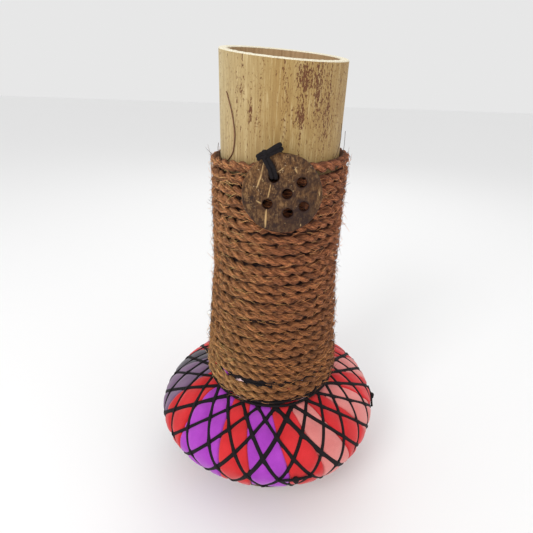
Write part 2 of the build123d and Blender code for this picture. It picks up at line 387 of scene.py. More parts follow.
def coir_fibre():
    kit = Nodes("coir_fibre", roughness=0.85)
    strands = kit.noise(kit.place((0.35, 2.4, 1), "grain"), detail=5, roughness=0.75)
    mottle = kit.noise(kit.place((0.22, 0.5, 1), "grain"), detail=4)
    shade = kit.shade()
    # dark strands are painted shade in the grooves between fibres and light strands are painted highlights on
    # them, along with fibre colour that varies
    dark = kit.mix(1.0, shade, (0.17, 0.09, 0.07), "MULTIPLY")
    light = kit.mix(1.0, shade, (1.75, 1.9, 2.0), "MULTIPLY")
    colour = kit.mix(kit.ramp(strands, (0.38, 0.0), (0.56, 1.0)), dark, shade)
    colour = kit.mix(kit.ramp(strands, (0.53, 0.0), (0.68, 0.85)), colour, light)
    colour = kit.mix(kit.ramp(mottle, (0.34, 0.6), (0.56, 0.0)), colour, dark)
    return kit.finish(colour, strands, depth=0.002, strength=1.0)


def coir_hair():
    kit = Nodes("coir_hair", roughness=0.7)
    shade = kit.shade()
    along = kit.noise(kit.place((0.6, 0.6, 1), "grain"), detail=2)
    colour = kit.mix(kit.ramp(along, (0.3, 0.5), (0.6, 0.0)), shade, (0.03, 0.012, 0.006))
    return kit.finish(colour, along, depth=0.0001, strength=0.4)


def cloth(name, colour, light):
    kit = Nodes(name, roughness=0.88)
    kit.shader.inputs["Sheen Weight"].default_value = 0.25
    kit.shader.inputs["Sheen Roughness"].default_value = 0.5
    weave = kit.noise(kit.place((2600, 2600, 2600)), detail=2)
    broad = kit.noise(kit.place((55, 55, 55)), detail=4)
    tint = kit.mix(kit.ramp(broad, (0.35, 0.0), (0.7, 1.0)), colour, light)
    tint = kit.mix(kit.ramp(weave, (0.3, 0.18), (0.6, 0.0)), tint, tuple(0.4 * v for v in colour))
    height = kit.maths("ADD", kit.maths("MULTIPLY", weave, 0.35), broad)
    return kit.finish(tint, height, depth=0.0007, strength=0.4)


def shaded_cloth():
    """The bunched ends of the panels, coloured round the neck, with painted shade in their folds."""
    kit = Nodes("gathered_cloth_look", roughness=0.9)
    shade = kit.shade()
    folds = kit.noise(kit.place((500, 500, 60)), detail=4)
    # painted shade: the fold noise darkens the cloth in the hollows of the folds
    dark = kit.mix(1.0, shade, (0.25, 0.2, 0.2), "MULTIPLY")
    colour = kit.mix(kit.ramp(folds, (0.35, 0.0), (0.6, 1.0)), dark, shade)
    return kit.finish(colour, folds, depth=0.001, strength=0.8)


def black_cord():
    kit = Nodes("black_cord_look", roughness=0.72)
    kit.shader.inputs["Specular IOR Level"].default_value = 0.25
    braid = kit.add("ShaderNodeTexWave", wave_type="BANDS", bands_direction="DIAGONAL")
    kit.fill(braid, Vector=kit.place((0.9, 1.1, 1), "grain"), Scale=1.0, Distortion=1.5, Detail=2.0)
    fuzz = kit.noise(kit.place((1.2, 3.0, 1), "grain"), detail=3)
    colour = kit.mix(kit.ramp(fuzz, (0.35, 0.0), (0.75, 1.0)), srgb(8, 5, 7), srgb(34, 26, 30))
    height = kit.maths("ADD", braid.outputs["Fac"], fuzz)
    return kit.finish(colour, height, depth=0.0004, strength=0.5)


def coconut(name, dark, mid, light):
    kit = Nodes(name, roughness=0.55)
    kit.shader.inputs["Specular IOR Level"].default_value = 0.3
    broad = kit.noise(kit.place((130, 130, 110)), detail=6, roughness=0.7)
    fine = kit.noise(kit.place((760, 760, 420)), detail=4, roughness=0.75)
    flecks = kit.noise(kit.place((900, 900, 900)), detail=2)
    colour = kit.mix(kit.ramp(broad, (0.36, 0.0), (0.6, 1.0)), dark, mid)
    colour = kit.mix(kit.ramp(fine, (0.5, 0.0), (0.62, 0.6)), colour, light)
    colour = kit.mix(kit.ramp(fine, (0.36, 0.75), (0.48, 0.0)), colour, tuple(0.45 * v for v in dark))
    colour = kit.mix(kit.ramp(flecks, (0.69, 0.0), (0.73, 0.75)), colour, srgb(206, 178, 140))
    streaks_and_shade = kit.add("ShaderNodeSeparateColor")
    kit.link(kit.shade(), streaks_and_shade.inputs[0])
    # green in the shade attribute is painted shade on the hole walls and the lower and right sides, with darker
    # rims round the holes; red is the pale streaks
    colour = kit.mix(streaks_and_shade.outputs["Green"], colour, srgb(40, 16, 6))
    colour = kit.mix(streaks_and_shade.outputs["Red"], colour, srgb(214, 176, 120))
    height = kit.maths("ADD", fine, kit.maths("MULTIPLY", broad, 0.5))
    rough = kit.ramp(broad, (0.3, 0.42), (0.7, 0.62))
    return kit.finish(colour, height, depth=0.0004, strength=0.5, rough=rough)


BAMBOO = bamboo_skin()
BAMBOO_CUT = bamboo_cut()
BAMBOO_INSIDE = bamboo_inside()
COIR = coir_fibre()
HAIR = coir_hair()
CORD = black_cord()
SHELL = coconut("coconut_disc", srgb(46, 22, 6), srgb(104, 68, 32), srgb(160, 122, 78))
FOOT = coconut("coconut_foot", srgb(60, 38, 24), srgb(122, 84, 50), srgb(158, 118, 76))
CLOTH_COLOURS = {           # the cloth, its lighter patches and its bunched ends
    "cloth_red": ((196, 14, 22), (220, 36, 42), (220, 30, 40)),
    "cloth_purple": ((152, 38, 172), (178, 64, 196), (160, 45, 180)),
    "cloth_salmon": ((214, 120, 116), (228, 142, 136), (240, 200, 205)),
    "cloth_mauve": ((112, 84, 116), (132, 104, 134), (112, 84, 116)),
    "cloth_slate": ((66, 60, 70), (86, 80, 90), (66, 60, 70)),
}
CLOTHS = {
    slot: cloth(slot + "_look", srgb(*plain), srgb(*light)) for slot, (plain, light, _) in CLOTH_COLOURS.items()
}
CLOTH_TINTS = {slot: srgb(*ends) for slot, (_, _, ends) in CLOTH_COLOURS.items()}


# ---- bamboo tube ---------------------------------------------------------
MOUTH_Z = 266.9
MOUTH_RISE_X = -0.060
MOUTH_RISE_Y = 0.109
WALL = 4.1
FLOOR_Z = FOOT_TOP + 7.0


def mouth_height(points):
    return MOUTH_Z + MOUTH_RISE_X * points[..., 0] + MOUTH_RISE_Y * points[..., 1]


def culm_ring(radius, level, columns=360):
    """A ring of the culm at a share of its height, with the faint flutes of a real culm."""
    azimuth = np.linspace(0, 360, columns, endpoint=False)
    flute = 0.12 * wave_noise(np.radians(azimuth) * 1.0, 6, 3) * (radius / CULM_R)
    flute[-1] = flute[0]
    points = on_circle(azimuth, radius + flute, 0.0)
    top = mouth_height(points)
    points[:, 2] = FOOT_TOP + (top - FOOT_TOP) * level
    return points


SPECK_PATCHES = (           # azimuth, height, half-width, half-height, how crowded
    (-28.0, 241.0, 2.0, 6.0, 1.3),
    (-22.0, 237.0, 1.2, 4.0, 1.0),
    (-37.0, 250.0, 3.0, 4.0, 0.7),
    (-36.0, 264.0, 1.0, 8.0, 0.8),
    (1.5, 244.0, 2.0, 22.0, 0.6),
    (16.0, 256.0, 9.0, 7.0, 1.25),
    (14.0, 240.0, 6.0, 6.0, 1.2),
    (29.0, 252.0, 4.0, 14.0, 0.85),
    (38.0, 240.0, 12.0, 18.0, 0.55),
    (60.0, 246.0, 12.0, 22.0, 0.4),
    (150.0, 244.0, 30.0, 20.0, 0.7),
    (-120.0, 240.0, 24.0, 20.0, 0.6),
)


def speck_crowding(points):
    """How thick the dark specks are at each point of the culm."""
    azimuth = np.degrees(np.arctan2(points[:, 0], -points[:, 1]))
    total = np.zeros(len(points))
    for place, height, half_width, half_height, amount in SPECK_PATCHES:
        away = (azimuth - place + 180) % 360 - 180
        total += amount * np.exp(-(away / half_width) ** 2 - ((points[:, 2] - height) / half_height) ** 2)
    return total


def build_culm():
    columns = 360
    bore = CULM_R - WALL
    edge = 0.5
    skin = [culm_ring(CULM_R, level) for level in np.linspace(0, 1, 150)]
    skin[-1][:, 2] -= edge
    points = np.concatenate(skin)
    make_piece("bamboo_outside", points, grid_faces(len(skin), columns, True), BAMBOO, "vase",
               ["bamboo_tube"], tone=speck_crowding(points))

    profile = [(CULM_R, -edge), (CULM_R - 0.25, -0.12), (CULM_R - edge, 0.0)]
    profile += [(radius, 0.0) for radius in np.linspace(CULM_R - 2 * edge, bore + 2 * edge, 7)]
    profile += [(bore + edge, 0.0), (bore + 0.2, -0.12), (bore, -edge)]
    rim = []
    for number, (radius, drop) in enumerate(profile):
        ring = culm_ring(radius, 1.0)
        rough = 0.10 * wave_noise(np.arange(columns) / columns * FULL_TURN, 40, 50 + number)
        ring[:, 2] += drop + rough * (0.2 if number in (0, len(profile) - 1) else 1.0)
        rim.append(ring)
    make_piece("bamboo_rim", np.concatenate(rim), grid_faces(len(rim), columns, True), BAMBOO_CUT,
               "vase")

    inner = []
    for level in np.linspace(1, 0, 60):
        ring = culm_ring(bore, 1.0)
        ring[:, 2] = FLOOR_Z + (ring[:, 2] - edge - FLOOR_Z) * level
        inner.append(ring)
    for radius in (bore * 0.96, bore * 0.7, bore * 0.35, 0.4):
        ring = culm_ring(radius, 0.0)
        ring[:, 2] = FLOOR_Z - 1.2 * (1 - (radius / bore) ** 2)
        inner.append(ring)
    faces = grid_faces(len(inner), columns, True).tolist()
    faces.append([(len(inner) - 1) * columns + index for index in range(columns)])
    make_piece("bamboo_bore", np.concatenate(inner), faces, BAMBOO_INSIDE, "vase")


# ---- coir rope -----------------------------------------------------------
def seat_radius(z):
    """What the rope is wound on: bare culm above, gathered cloth below."""
    covered = np.clip((GATHER_TOP - z) / (GATHER_TOP - COIR_BOTTOM), 0, None)
    return CULM_R + 0.1 + (NECK_R - CULM_R) * covered


GAPS = (                    # azimuth, height, half-width in degrees, opening
    (16.0, 184.0, 34.0, 2.0),
    (-30.0, 165.0, 22.0, 1.3),
    (20.0, 170.0, 26.0, 1.0),
    (-12.0, 131.0, 22.0, 2.2),
    (30.0, 122.0, 30.0, 1.0),
    (-60.0, 150.0, 25.0, 0.9),
    (-24.0, 88.5, 25.0, 4.2),
    (140.0, 190.0, 30.0, 1.5),
    (-140.0, 120.0, 34.0, 1.6),
    (100.0, 145.0, 26.0, 1.2),
    (170.0, 100.0, 30.0, 1.4),
)


def rope_path(step=0.9):
    """Centre of the rope from its lower end to its upper end."""
    count = int(ROPE_TURNS * 2 * math.pi * COIR_R / step)
    turn = np.linspace(0, ROPE_TURNS, count)
    azimuth = ROPE_START + turn * 360.0
    low = COIR_BOTTOM + ROPE_LIFT
    pitch = (COIR_TOP - ROPE_LIFT - low) / ROPE_TURNS
    z = low + pitch * turn
    z += 0.35 * wave_noise(turn * FULL_TURN, 0.37, 21) + 0.22 * wave_noise(turn * FULL_TURN, 1.9, 22)
    for gap_azimuth, gap_z, half_width, opening in GAPS:
        part_turn = ((gap_azimuth - ROPE_START) / 360.0) % 1.0
        whole_turns = round((gap_z - low) / pitch - part_turn - 0.5)
        gap_height = low + pitch * (whole_turns + 0.5 + part_turn)
        away = (azimuth - gap_azimuth + 180) % 360 - 180
        gap_height = gap_height + pitch * away / 360.0
        reach = np.exp(-(away / half_width) ** 2) * np.exp(-np.abs(z - gap_height) / 9.0)
        z += np.tanh((z - gap_height) / 1.2) * opening / 2 * reach
    radius = seat_radius(z) + ROPE_R + 0.28 * wave_noise(turn * FULL_TURN, 1.1, 23)
    return on_circle(azimuth, radius, z)


def coir_colour(points, seed):
    """Reddish at the top, browner lower down, with painted light that makes the left side lighter and golden,
    most low down, and a painted shadow behind the disc.
    """
    source = np.random.default_rng(seed)
    share = np.clip((points[:, 2] - COIR_BOTTOM) / (COIR_TOP - COIR_BOTTOM), 0, 1)[:, None]
    top, middle, low = (np.array(srgb(*c)) for c in ((214, 132, 84), (204, 128, 76), (196, 130, 72)))
    upper_half = middle + (top - middle) * (share - 0.5) * 2
    lower_half = low + (middle - low) * share * 2
    colour = np.where(share > 0.5, upper_half, lower_half)
    # painted light: the left side of the rope is made lighter and golden, most of all near the bottom
    golden = (0.45 + 0.55 * np.clip(1 - share / 0.3, 0, 1)) * np.clip(-points[:, :1] / 30 + 0.1, 0, 1)
    colour = colour + (np.array(srgb(232, 178, 110)) - colour) * golden * 0.8
    # painted shadow: the rope behind the disc is darkened
    from_disc = np.hypot(points[:, 0] - DISC_MIDDLE[0], points[:, 2] - DISC_MIDDLE[2])
    disc_shadow = np.clip((DISC_R - 2 - from_disc) / 9, 0, 1)[:, None] * (points[:, 1:2] < -20)
    colour = colour * (1 - 0.35 * disc_shadow)
    return colour * (1 + 0.10 * source.standard_normal((len(points), 1)))


def build_rope():
    path = rope_path()
    out = outward(path)
    tangent = unit(np.gradient(path, axis=0))
    across = np.cross(tangent, out)
    length = np.concatenate([[0], np.cumsum(np.linalg.norm(np.diff(path, axis=0), axis=1))])
    twist = 2 * math.pi * length / ROPE_LAY + 0.9 * wave_noise(length, 0.05, 31)
    sides = 12
    parts, tones = [], []
    for ply in (0, 1):
        phase = twist + math.pi * ply
        offset = PLY_OFFSET * (1 + 0.12 * wave_noise(length, 0.35, 41 + ply))
        centre = path + (offset * np.cos(phase))[:, None] * out * 0.92
        centre = centre + (offset * np.sin(phase))[:, None] * across
        lumps = 0.10 * wave_noise(length, 0.8, 51 + ply)
        ripples = 0.05 * wave_noise(length, 2.3, 61 + ply)
        swell = PLY_R * (1 + lumps + ripples)
        swell = swell * np.clip(np.minimum(length, length[-1] - length) / 4 + 0.3, 0, 1)
        part = tube(centre, out, swell, swell, sides=sides)
        rough = np.random.default_rng(71 + ply).standard_normal(len(part[0]))
        part[0][:] += 0.07 * rough[:, None] * unit(part[0] - np.repeat(centre, sides, axis=0))
        parts.append(part)
        tones.append(np.repeat(wave_noise(length, 0.11, 81 + ply), sides))
    points, faces, grain = joined(parts)
    grain[len(parts[0][0]):, 1] += 40.0
    tone = np.concatenate(tones)
    # painted shade: the rope darkens where its surface sinks towards its seat and into the valleys between
    # turns, and stays lighter on its crests
    proud = (np.hypot(points[:, 0], points[:, 1]) - seat_radius(points[:, 2]) - 2.4) / 2.6
    depth = 0.28 + 0.85 * np.clip(proud, 0, 1) ** 0.8
    colour = np.clip(coir_colour(points, 5) * (1 + 0.10 * tone[:, None]) * depth[:, None], 0, 1)
    make_piece("coir_rope", points, faces, COIR, "vase", ["coir_wrap", "coir_end_turns"],
               grain=grain, colour=colour)
    return path, out, across, tangent


def build_fuzz(path, out, across, tangent, count=6500):
    """Loose fibres: most lie along the rope, some stand out from it."""
    pick = random.integers(20, len(path) - 20, count)
    lift = random.uniform(-0.9, 1.25, count)
    azimuth = np.degrees(np.arctan2(path[pick, 0], -path[pick, 1]))
    over_gap = (np.abs(path[pick, 2] - (OPENED_Z + 2)) < 5) & (azimuth > -52) & (azimuth < 2)
    steps_away = 4000       # how far along the rope most of the opened turns' fibres are moved
    pick = np.where(over_gap & (random.random(count) < 0.75), pick + steps_away, pick)
    root = path[pick] + ROPE_R * (np.cos(lift)[:, None] * out[pick] + np.sin(lift)[:, None] * across[pick])
    lean = random.choice([-1.0, 1.0], count)[:, None] * tangent[pick]
    stand = random.uniform(0.02, 0.5, count) ** 1.4 * np.where(random.random(count) < 0.16, 2.4, 1.0)
    start = unit(lean + stand[:, None] * out[pick] + random.normal(0, 0.32, (count, 1)) * across[pick])
    bend = random.normal(0, 0.5, (count, 1)) * across[pick] - 0.35 * out[pick] * random.random((count, 1))
    size = random.uniform(2.0, 8.0, count)[:, None]
    place = np.linspace(0, 1, 6)
    colour = np.clip(coir_colour(root, 6), 0, 1)
    light = random.choice([0.08, 0.3, 0.9, 1.4, 1.9], count)[:, None]
    colour = np.clip(colour * light, 0, 1)
    parts, shades = [], []
    for index in range(count):
        shape = place[:, None] * start[index] + place[:, None] ** 2 * bend[index] * 0.55
        curve = root[index] + size[index] * shape
        reach = np.hypot(curve[:, 0], curve[:, 1])
        seat = seat_radius(curve[:, 2]) + 5.3
        curve[:, :2] *= (np.maximum(reach, seat) / reach)[:, None]
        thin = 0.15 * (1 - 0.7 * place)
        parts.append(tube(curve, out[pick[index]], thin, thin, sides=3))
        shades.append(np.repeat(colour[index:index + 1], len(parts[-1][0]), axis=0))
    points, faces, grain = joined(parts)
    make_piece("coir_fibres", points, faces, HAIR, "vase", grain=grain, colour=np.concatenate(shades))


def build_rope_gap_shade():
    """A dark sheet between the rope and what it is wound on: painted shade that shows in the gaps between the
    turns.
    """
    levels = np.linspace(COIR_BOTTOM + 1.5, COIR_TOP - 9.0, 90)
    azimuth = np.linspace(0, 360, 240, endpoint=False)
    rings = []
    for z in levels:
        rough = 0.3 * wave_noise(np.radians(azimuth), 9, int(z * 7))
        rings.append(on_circle(azimuth, seat_radius(z) + 1.2 + rough, z))
    points = np.concatenate(rings)
    opened = np.abs(points[:, 2] - OPENED_Z) <= 6
    points[opened, :2] *= 0.975
    # the dark colour of this sheet is painted shade
    colour = np.broadcast_to(np.array(srgb(60, 28, 18)), points.shape).copy()
    grain = np.stack([np.tile(azimuth, len(levels)) * 0.6, points[:, 2], np.zeros(len(points))], axis=1)
    make_piece("coir_gap_shade", points, grid_faces(len(levels), len(azimuth), True), COIR, "vase",
               grain=grain, colour=colour)


# ---- cushion -------------------------------------------------------------
OUTLINE = (                 # azimuth and how far the soft shape stands in or out there
    (-180, -1.5), (-140, -4.0), (-110, -1.0), (-80, 3.4), (-50, 2.4), (-20, -1.2),
    (10, -0.3), (35, 0.6), (60, -0.2), (90, 0.5), (120, 2.0), (150, 0.5), (180, -1.5),
)


def soft_outline(azimuth):
    wrapped = (np.asarray(azimuth) + 180) % 360 - 180
    places, amounts = zip(*OUTLINE)
    total = 0
    for shift in (-12, -6, 0, 6, 12):
        total = total + np.interp((wrapped + shift + 180) % 360 - 180, places, amounts)
    return total / 5


def loop_swing(radius, above):
    """Degrees round that a net loop has gone since the widest circle."""
    aim = np.where(above, NET_NECK_AIM, NET_FOOT_AIM)
    share = np.clip((radius / CUSHION_R) ** 2, 0, 0.99999)
    part = (1 / share - 1) / (CUSHION_R ** 2 / aim ** 2 - 1)
    return np.degrees(np.arcsin(np.sqrt(np.clip(part, 0, 1))))


LOW_FRONT_DENT = 3.2        # how far the lower front is drawn in, where the foot looks out


def section_point(azimuth, angle, lift=0.0):
    """A point of the drawn-in cloth, where the cords lie; angle is round the section."""
    reach = CUSHION_R - CLOTH_INSET + lift
    tall = np.where(angle > 0, CUSHION_RISE, CUSHION_DROP) - CLOTH_INSET + lift
    swell = soft_outline(azimuth) * np.cos(np.radians(angle)) ** 2
    below = np.sin(np.radians(np.clip(-angle, 0, 90) * 2)) ** 2
    swell = swell - LOW_FRONT_DENT * np.exp(-((azimuth + 8) / 26) ** 2) * below
    radius = reach * np.cos(np.radians(angle)) + swell
    return on_circle(azimuth, radius, CUSHION_Z + tall * np.sin(np.radians(angle)))


def cord_distance(azimuth, angle, way):
    """Distance along the cloth to the nearest cord that leans one way."""
    radius = CUSHION_R * np.cos(np.radians(angle))
    swing = loop_swing(radius, angle > 0)
    nearby = loop_swing(radius * 0.98, angle > 0)
    step = 360.0 / NET_LOOPS
    side = np.where(angle > 0, 1, -1)
    off = (azimuth - NET_PHASE - way * side * swing + step / 2) % step - step / 2
    run = np.maximum(radius * 0.02 / np.maximum(np.abs(np.sin(np.radians(angle))), 0.15), 0.3)
    slope = np.radians(nearby - swing) * radius / run
    return np.abs(np.radians(off) * radius) / np.sqrt(1 + slope ** 2)


SEAM_SWIRL = 10.0           # degrees that the seams lean to the left by the time they reach the neck
NECK_ANGLE = math.degrees(math.acos(NECK_R / CUSHION_R))
HEM_ANGLE = -math.degrees(math.acos(HEM_R / CUSHION_R))


def panel_points(start, width):
    """The cloth of one panel, swollen between the cords, with rolled seams."""
    columns = int(width * 1.6)
    rows = 110
    share = np.linspace(0, 1, columns)
    angles = np.linspace(HEM_ANGLE - 2, NECK_ANGLE + 1, rows)
    azimuth, angle = np.meshgrid(start + width * share, angles)
    azimuth = azimuth - SEAM_SWIRL * np.clip(angle / NECK_ANGLE, 0, 1) ** 1.5
    reach_a = 1 - np.exp(-(cord_distance(azimuth, angle, 1) / CORD_GROOVE) ** 2)
    reach_b = 1 - np.exp(-(cord_distance(azimuth, angle, -1) / CORD_GROOVE) ** 2)
    seam = np.minimum(share, 1 - share)[None, :] * np.radians(width) * CUSHION_R
    roll = 1.3 * np.exp(-(seam / 0.55) ** 2) * np.cos(np.radians(angle))
    creases = 0.16 * np.sin(np.radians(azimuth) * 46 + angle * 0.13) * np.clip(angle / NECK_ANGLE, 0, 1) ** 2
    lift = PUFF * reach_a * reach_b - roll + creases
    points = section_point(azimuth, angle, 0.0)
    flat = on_circle(azimuth, np.cos(np.radians(angle)), np.sin(np.radians(angle)) * 1.6)
    return points + unit(flat) * lift[..., None], rows, columns


def build_cushion():
    start = FIRST_PANEL_START
    for number, width in enumerate(PANEL_WIDTHS, 1):
        node = f"cover_panel_{number:02d}"
        points, rows, columns = panel_points(start, width)
        slot = PANEL_SLOTS[node]
        nodes = [node, "cushion_stuffing"] if number == 1 else [node]
        piece = make_piece(f"panel_cloth_{number:02d}", points.reshape(-1, 3), grid_faces(rows, columns),
                           CLOTHS[slot], "vase", nodes)
        start += width


def build_gathered_cloth():
    """Bunched panel ends between the cushion and the rope, and in the gap of the last turns."""
    azimuth = np.linspace(-180, 180, 720, endpoint=False)
    levels = np.linspace(COIR_BOTTOM - 7, COIR_BOTTOM + 18, 40)
    rings = []
    edges = FIRST_PANEL_START + np.concatenate([[0], np.cumsum(PANEL_WIDTHS)])
    for z in levels:
        gap = math.exp(-((z - OPENED_Z) / 3.0) ** 2)
        folds = wave_noise(np.radians(azimuth) + z * 0.004, 30, 91)
        radius = seat_radius(max(z, COIR_BOTTOM)) + 0.6 + gap * 2.4 + folds * (0.3 + gap)
        rings.append(on_circle(azimuth, radius, z))
    band = np.searchsorted(edges, (azimuth - edges[0]) % 360 + edges[0], side="right") - 1
    slots = [PANEL_SLOTS[f"cover_panel_{index % 20 + 1:02d}"] for index in band]
    tint = np.array([CLOTH_TINTS[slot] for slot in slots])
    seen = (           # what the opened turns show, from the left: azimuths and colour
        (-56, -41, srgb(170, 50, 190)),
        (-41, -34, srgb(226, 40, 50)),
        (-34, -22, srgb(250, 214, 214)),
        (-22, 14, srgb(24, 16, 18)),
    )
    for first, last, colour in seen:
        tint[(azimuth > first) & (azimuth < last)] = colour
    faces = grid_faces(len(levels), len(azimuth), True)
    make_piece("gathered_cloth_folds", np.concatenate(rings), faces, shaded_cloth(),
               "vase", ["gathered_cloth"], colour=np.tile(tint, (len(levels), 1)))


# ---- net -----------------------------------------------------------------
def make_cord(name, parts, body, node):
    """Lengths of black cord as one piece."""
    points, faces, grain = joined(parts)
    return make_piece(name, points, faces, CORD, body, [node], grain=grain)


def loop_path(number, way, count=150):
    """One cord of the net, from under the rope to the foot."""
    upper = np.linspace(NECK_ANGLE + 3, 0, count // 2)
    lower = np.linspace(0, HEM_ANGLE - 3, count // 2)[1:]
    angle = np.concatenate([upper, lower])
    radius = CUSHION_R * np.cos(np.radians(angle))
    swing = loop_swing(radius, angle > 0) * np.where(angle > 0, 1, -1)
    wander = 1.1 * wave_noise(angle * 0.02, 1.0, 100 + number * 2 + (way > 0))
    azimuth = NET_PHASE + number * 360.0 / NET_LOOPS + way * swing + wander
    height = 0.1
    if way < 0:
        height = height + 0.6 * np.exp(-(cord_distance(azimuth, angle, 1) / 2.2) ** 2)
    path = section_point(azimuth, angle, height)
    up = unit(section_point(azimuth, angle, height + 3.0) - section_point(azimuth, angle, height))
    return path, up


def cord_share(number, way):
    """How wide a cord is next to the usual one: a few are doubled."""
    source = np.random.default_rng(500 + 2 * number + (way > 0))
    return 1.35 if source.random() < 0.08 else source.uniform(0.85, 1.1)


def build_net():
    for way, node in ((1, "net_cords_under"), (-1, "net_cords_over")):
        parts = []
        for number in range(NET_LOOPS):
            path, up = loop_path(number, way)
            uneven = 1 + 0.10 * wave_noise(np.arange(len(path)) * 0.1, 1, 160 + number)
            wide = 1.22 * cord_share(number, way) * uneven
            parts.append(tube(path, up, wide, 0.55, sides=10))
        make_cord(node + "_flat", parts, "vase", node)


def ring_path(radius, z, seed, wobble=0.5, count=240):
    azimuth = np.linspace(0, 360, count, endpoint=False)
    turn = np.radians(azimuth)
    ripple = sum(
        np.random.default_rng(seed + k).uniform(-1, 1) * np.sin(turn * k + seed * k) for k in range(1, 9)
    ) * wobble / 2.2
    drift = sum(
        np.random.default_rng(seed + 50 + k).uniform(-1, 1) * np.cos(turn * k + seed * k) for k in range(1, 8)
    ) * wobble / 2.2
    return on_circle(azimuth, radius + ripple, z + drift)


def build_ring_cords():
    """Cord wound round the neck under the rope, in the rope's gap, and round the foot."""
    groups = (
        ("neck_cord", "net_neck_cord", [(40.2, 75.2), (41.2, 74.2), (42.3, 72.6)], 0.85),
        ("whipping_cord", "neck_whipping", [(40.2, 85.9), (40.6, 87.2), (40.2, 88.6), (40.4, 89.8)], 0.7),
        ("foot_cord", "net_foot_cord", [(46.6, 11.4), (46.9, 13.2)], 0.9),
    )
    for name, node, rings, thick in groups:
        parts = []
        for number, (radius, z) in enumerate(rings):
            path = ring_path(radius, z, 200 + number + len(name))
            parts.append(tube(path, outward(path), thick, thick, sides=9, closed=True))
        make_cord(name, parts, "vase", node)


def knot_parts(centre, size, out, seed):
    """A small tied lump: four tight loops of cord over each other, round a short core."""
    source = np.random.default_rng(seed)
    out = unit(np.array(out, float))
    side = unit(np.cross(out, (0.1, 0.2, 1.0)))
    rise = np.cross(side, out)
    parts = []
    thick = size * 0.36
    turn = np.linspace(0, 2 * math.pi, 28, endpoint=False)
    for loop in range(4):
        tilt = source.uniform(-0.9, 0.9) + loop * math.pi / 4
        a = math.cos(tilt) * side + math.sin(tilt) * rise
        b = out * 0.8 + 0.5 * (math.cos(tilt + 1.4) * side + math.sin(tilt + 1.4) * rise)
        path = np.array(centre) + size * 0.62 * (np.cos(turn)[:, None] * a + np.sin(turn)[:, None] * b * 0.8)
        parts.append(tube(path, unit(path - np.array(centre)), thick, thick, sides=9, closed=True))
    core = np.linspace(-0.55, 0.55, 12)
    path = np.array(centre) + size * core[:, None] * side
    ends = round_ends(len(core), 0.4)
    parts.append(tube(path, out, size * 0.62 * ends, size * 0.55 * ends, sides=12))
    return parts


def build_net_knots():
    parts = []
    for mesh, size in ((0, 2.3), (5, 2.4), (7, 2.2)):
        azimuth = NET_PHASE + (mesh + 0.5) * 360.0 / NET_LOOPS
        centre = section_point(np.array(azimuth), np.array(2.0), PUFF + size * 0.45)
        parts += knot_parts(centre, size, outward(centre), 300 + mesh)
        for side in (-0.5, 0.5):
            crossing = azimuth + side * 360.0 / NET_LOOPS
            partway = azimuth + 0.6 * (crossing - azimuth)
            spots = ((azimuth, 2.0, 2.2), (partway, 1.6, 1.6), (crossing, 1.2, 1.7))
            path = smooth_path([section_point(np.array(a), np.array(b), c) for a, b, c in spots], 20)
            parts.append(tube(path, outward(path), 0.95, 0.7, sides=9))
    make_cord("net_cord_knots", parts, "vase", "net_knots")


# ---- foot ----------------------------------------------------------------
def build_foot():
    profile = (         # how far in from the widest circle, and height
        (12, 0.0), (2.2, 0.0), (0.8, 0.5), (0.1, 1.8), (0, 3.2),
        (0, 6.5), (0.4, 8.2), (1.4, 9.5), (1.8, 11.0), (1.8, FOOT_TOP),
    )
    azimuth = np.linspace(0, 360, 300, endpoint=False)
    rings = [on_circle(azimuth, 0.4, 0.0)]
    for inset, z in profile:
        tool = 0.10 * wave_noise(np.radians(azimuth), 12, int(z * 10)) * (z > 0.4)
        rings.append(on_circle(azimuth, FOOT_R - inset + tool, z))
    points = np.concatenate(rings)
    faces = grid_faces(len(rings), len(azimuth), True).tolist()
    faces.append(list(range(len(azimuth)))[::-1])
    colour = np.zeros_like(points)
    make_piece("foot_turned", points, faces, FOOT, "vase", ["foot_disc"], colour=colour)


# ---- disc and tie --------------------------------------------------------
DISC_HOLES = ((-4.1, 8.3), (9.0, 6.3), (2.4, 0.7), (-6.8, -4.5), (10.7, -5.2), (3.2, -8.7))
HOLE_R = 2.4
STREAKS = (                 # pale fibres in the shell: start, end, half-width, in the disc's plane
    ((-9.0, 15.2), (-10.2, 9.6), 0.26),
    ((-10.0, 10.2), (-12.0, 3.0), 0.34),
    ((-5.3, 5.8), (-6.9, -1.6), 0.28),
    ((-7.3, -7.2), (-7.5, -16.6), 0.38),
    ((-12.4, -3.0), (-9.6, -4.2), 0.22),
    ((-3.2, 10.6), (0.4, 13.0), 0.22),
    ((-2.0, 11.0), (-0.8, 10.4), 0.18),
    ((5.4, 13.2), (6.4, 10.4), 0.26),
    ((17.4, 2.2), (18.0, 0.2), 0.36),
    ((9.6, -14.2), (9.8, -15.6), 0.28),
    ((-9.0, 6.0), (-9.8, 7.8), 0.18),
    ((5.0, 2.4), (5.4, 2.2), 0.42),
    ((11.2, 11.2), (11.6, 11.6), 0.36),
    ((3.8, 11.2), (4.0, 11.0), 0.36),
    ((-8.8, -12.4), (-8.6, -12.6), 0.30),
    ((2.0, -13.8), (2.4, -13.8), 0.30),
)


